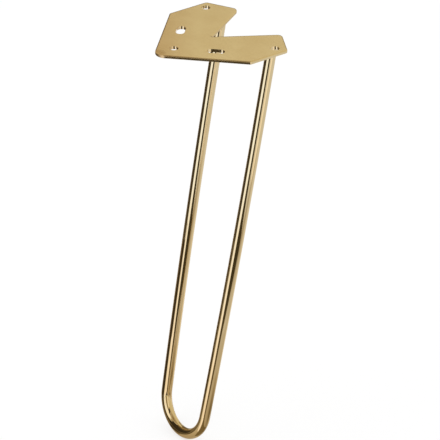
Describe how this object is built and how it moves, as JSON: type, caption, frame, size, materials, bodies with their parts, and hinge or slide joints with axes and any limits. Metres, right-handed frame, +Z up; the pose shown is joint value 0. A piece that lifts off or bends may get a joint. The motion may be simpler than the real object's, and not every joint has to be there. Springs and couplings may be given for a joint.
{
  "type": "hairpin table leg",
  "caption": "Bent round-bar hairpin leg welded under a notched flat mounting plate with screw holes and slots, brass finish.",
  "frame": {"origin": "on the upper mounting face, on the plate's line of symmetry, midway between the two slots", "axes": "+Z is up, out of the mounting face; +X runs across the two rods; +Y runs from the plate's corner towards its two arms"},
  "size_m": [0.1224, 0.1114, 0.406],
  "materials": {
    "plate_finish": "satin-polished brass plating on steel plate",
    "rod_finish": "bright brass plating on drawn steel bar",
    "weld_finish": "brass plating over a rippled weld bead"
  },
  "bodies": {
    "root": {"mounting_plate": "plate_finish", "hairpin_rod": "rod_finish", "left_weld": "weld_finish", "right_weld": "weld_finish"}
  },
  "joints": []
}
